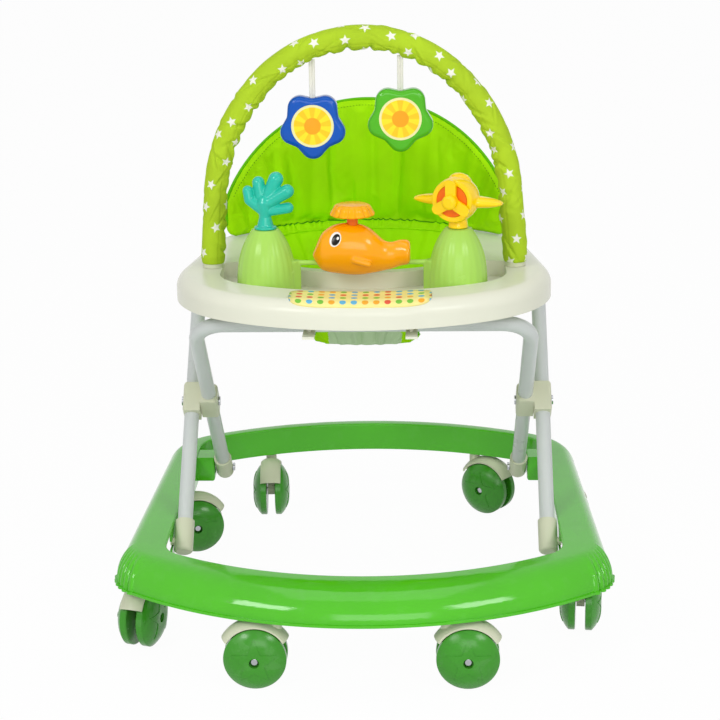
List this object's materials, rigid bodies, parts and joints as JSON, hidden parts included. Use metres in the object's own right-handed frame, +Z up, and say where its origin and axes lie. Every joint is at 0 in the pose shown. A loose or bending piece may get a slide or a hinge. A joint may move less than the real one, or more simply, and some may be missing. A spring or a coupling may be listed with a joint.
{
  "type": "baby walker",
  "caption": "Folding baby walker: ring base on swivel casters, scissor frame, play tray with toys, cloth seat, padded backrest and a toy arch with hanging stars.",
  "frame": {"origin": "on the floor, under the middle of the walker's outline", "axes": "+X to the right as seen from the front, +Y from the front to the rear, +Z up"},
  "size_m": [0.6115, 0.6651, 0.738],
  "materials": {
    "base_green": "glossy moulded plastic",
    "wheel_green": "moulded plastic",
    "cream": "satin moulded plastic",
    "tray_ivory": "glossy moulded plastic",
    "tube_paint": "light grey powder coat on steel tube",
    "steel": "plain steel",
    "seat_cloth": "woven cloth",
    "back_cloth": "padded cloth",
    "board": "plain sheet",
    "dome_green": "glossy moulded plastic",
    "coral_teal": "glossy moulded plastic",
    "whale_orange": "glossy moulded plastic",
    "plane_yellow": "glossy moulded plastic",
    "nose_orange": "glossy moulded plastic",
    "arch_cloth": "padded printed cloth",
    "arch_rod": "plain plastic rod",
    "strap_white": "woven tape",
    "star_blue": "glossy moulded plastic",
    "star_green": "glossy moulded plastic",
    "disc_yellow": "glossy moulded plastic"
  },
  "bodies": {
    "base": {"base_ring": "base_green", "rear_foot_pins": "steel"},
    "rear_leg": {"rear_leg_tube": "tube_paint", "rear_foot_caps": "cream", "inner_crossing_sleeves": "cream", "crossing_rivets": "steel"},
    "front_leg": {"front_leg_tube": "tube_paint", "front_foot_caps": "cream", "outer_crossing_sleeves": "cream"},
    "tray": {"tray_shell": "tray_ivory", "bar_guides": "tray_ivory", "rear_bar_clips": "cream", "seat_sling": "seat_cloth", "backrest_pad": "back_cloth", "backrest_board": "board", "toy_bridge": "dome_green"},
    "coral": {"coral_toy": "coral_teal"},
    "whale": {"whale_toy": "whale_orange"},
    "spout": {"whale_spout": "whale_orange"},
    "plane": {"plane_toy": "plane_yellow", "plane_nose": "nose_orange"},
    "propeller": {"plane_propeller": "nose_orange"},
    "arch": {"arch_rod": "arch_rod", "arch_sleeve": "arch_cloth", "arch_plugs": "cream", "strap_loops": "strap_white"},
    "blue_star": {"blue_star_front": "star_blue", "blue_star_back": "star_blue", "blue_star_disc": "disc_yellow", "blue_star_strap": "strap_white"},
    "green_star": {"green_star_front": "star_green", "green_star_back": "star_green", "green_star_disc": "disc_yellow", "green_star_strap": "strap_white"},
    "front_left_caster": {"front_left_caster_hood": "cream", "front_left_caster_axle": "steel"},
    "front_left_wheels": {"front_left_caster_wheels": "wheel_green"},
    "front_right_caster": {"front_right_caster_hood": "cream", "front_right_caster_axle": "steel"},
    "front_right_wheels": {"front_right_caster_wheels": "wheel_green"},
    "corner_left_caster": {"corner_left_caster_hood": "cream", "corner_left_caster_axle": "steel"},
    "corner_left_wheels": {"corner_left_caster_wheels": "wheel_green"},
    "corner_right_caster": {"corner_right_caster_hood": "cream", "corner_right_caster_axle": "steel"},
    "corner_right_wheels": {"corner_right_caster_wheels": "wheel_green"},
    "mid_left_caster": {"mid_left_caster_hood": "cream", "mid_left_caster_axle": "steel"},
    "mid_left_wheels": {"mid_left_caster_wheels": "wheel_green"},
    "mid_right_caster": {"mid_right_caster_hood": "cream", "mid_right_caster_axle": "steel"},
    "mid_right_wheels": {"mid_right_caster_wheels": "wheel_green"},
    "rear_left_caster": {"rear_left_caster_hood": "cream", "rear_left_caster_axle": "steel"},
    "rear_left_wheels": {"rear_left_caster_wheels": "wheel_green"},
    "rear_right_caster": {"rear_right_caster_hood": "cream", "rear_right_caster_axle": "steel"},
    "rear_right_wheels": {"rear_right_caster_wheels": "wheel_green"}
  },
  "joints": [
    {"name": "fold", "type": "hinge", "parent": "base", "child": "rear_leg", "pos_m": [0, 0.177, 0.103], "axis": [1, 0, 0], "range_deg": [0, 30]},
    {"name": "crossing", "type": "hinge", "parent": "rear_leg", "child": "front_leg", "pos_m": [0, 0.03558, 0.24442], "axis": [1, 0, 0], "range_deg": [-60, 0]},
    {"name": "tray_bar", "type": "hinge", "parent": "front_leg", "child": "tray", "pos_m": [0, 0.177, 0.38584], "axis": [1, 0, 0], "range_deg": [0, 30]},
    {"name": "coral_turn", "type": "hinge", "parent": "tray", "child": "coral", "pos_m": [-0.116, -0.094, 0.502], "axis": [0, 0, 1], "continuous": true},
    {"name": "whale_rock", "type": "hinge", "parent": "tray", "child": "whale", "pos_m": [0, -0.094, 0.46], "axis": [1, 0, 0], "range_deg": [-25, 25]},
    {"name": "spout_press", "type": "slide", "parent": "whale", "child": "spout", "axis": [0, 0, 1], "range_m": [-0.004, 0], "stiffness_N_per_m": 400, "springref_m": 0.002},
    {"name": "plane_turn", "type": "hinge", "parent": "tray", "child": "plane", "pos_m": [0.116, -0.094, 0.502], "axis": [0, 0, 1], "continuous": true},
    {"name": "propeller_spin", "type": "hinge", "parent": "plane", "child": "propeller", "pos_m": [0.10776, -0.1144, 0.538], "axis": [-0.3746, -0.9272, 0], "continuous": true},
    {"name": "arch_lift", "type": "slide", "parent": "tray", "child": "arch", "axis": [0, 0, 1], "range_m": [0, 0.05]},
    {"name": "blue_star_swing", "type": "hinge", "parent": "arch", "child": "blue_star", "pos_m": [-0.06, -0.028, 0.69532], "axis": [1, 0, 0], "range_deg": [-40, 40]},
    {"name": "green_star_swing", "type": "hinge", "parent": "arch", "child": "green_star", "pos_m": [0.047, -0.028, 0.69953], "axis": [1, 0, 0], "range_deg": [-40, 40]},
    {"name": "front_left_swivel", "type": "hinge", "parent": "base", "child": "front_left_caster", "pos_m": [-0.1, -0.296, 0.09], "axis": [0, 0, 1], "continuous": true},
    {"name": "front_left_spin", "type": "hinge", "parent": "front_left_caster", "child": "front_left_wheels", "pos_m": [-0.124, -0.296, 0.037], "axis": [0, -1, 0], "continuous": true},
    {"name": "front_right_swivel", "type": "hinge", "parent": "base", "child": "front_right_caster", "pos_m": [0.1, -0.296, 0.09], "axis": [0, 0, 1], "continuous": true},
    {"name": "front_right_spin", "type": "hinge", "parent": "front_right_caster", "child": "front_right_wheels", "pos_m": [0.124, -0.296, 0.037], "axis": [0, 1, 0], "continuous": true},
    {"name": "corner_left_swivel", "type": "hinge", "parent": "base", "child": "corner_left_caster", "pos_m": [-0.266, -0.161, 0.09], "axis": [0, 0, 1], "continuous": true},
    {"name": "corner_left_spin", "type": "hinge", "parent": "corner_left_caster", "child": "corner_left_wheels", "pos_m": [-0.27261, -0.18407, 0.037], "axis": [0.9613, -0.2756, 0], "continuous": true},
    {"name": "corner_right_swivel", "type": "hinge", "parent": "base", "child": "corner_right_caster", "pos_m": [0.266, -0.161, 0.09], "axis": [0, 0, 1], "continuous": true},
    {"name": "corner_right_spin", "type": "hinge", "parent": "corner_right_caster", "child": "corner_right_wheels", "pos_m": [0.26851, -0.13713, 0.037], "axis": [-0.9945, 0.1045, 0], "continuous": true},
    {"name": "mid_left_swivel", "type": "hinge", "parent": "base", "child": "mid_left_caster", "pos_m": [-0.266, 0.124, 0.09], "axis": [0, 0, 1], "continuous": true},
    {"name": "mid_left_spin", "type": "hinge", "parent": "mid_left_caster", "child": "mid_left_wheels", "pos_m": [-0.24252, 0.12899, 0.037], "axis": [-0.2079, 0.9781, 0], "continuous": true},
    {"name": "mid_right_swivel", "type": "hinge", "parent": "base", "child": "mid_right_caster", "pos_m": [0.266, 0.124, 0.09], "axis": [0, 0, 1], "continuous": true},
    {"name": "mid_right_spin", "type": "hinge", "parent": "mid_right_caster", "child": "mid_right_wheels", "pos_m": [0.27576, 0.14592, 0.037], "axis": [-0.9135, 0.4067, 0], "continuous": true},
    {"name": "rear_left_swivel", "type": "hinge", "parent": "base", "child": "rear_left_caster", "pos_m": [-0.149, 0.29, 0.09], "axis": [0, 0, 1], "continuous": true},
    {"name": "rear_left_spin", "type": "hinge", "parent": "rear_left_caster", "child": "rear_left_wheels", "pos_m": [-0.14816, 0.26602, 0.037], "axis": [0.9994, 0.0349, 0], "continuous": true},
    {"name": "rear_right_swivel", "type": "hinge", "parent": "base", "child": "rear_right_caster", "pos_m": [0.149, 0.29, 0.09], "axis": [0, 0, 1], "continuous": true},
    {"name": "rear_right_spin", "type": "hinge", "parent": "rear_right_caster", "child": "rear_right_wheels", "pos_m": [0.16842, 0.27589, 0.037], "axis": [0.5878, 0.809, 0], "continuous": true}
  ],
  "couplings": [
    {"joint": "crossing", "follows": "fold", "ratio": -2},
    {"joint": "tray_bar", "follows": "fold", "ratio": 1}
  ]
}
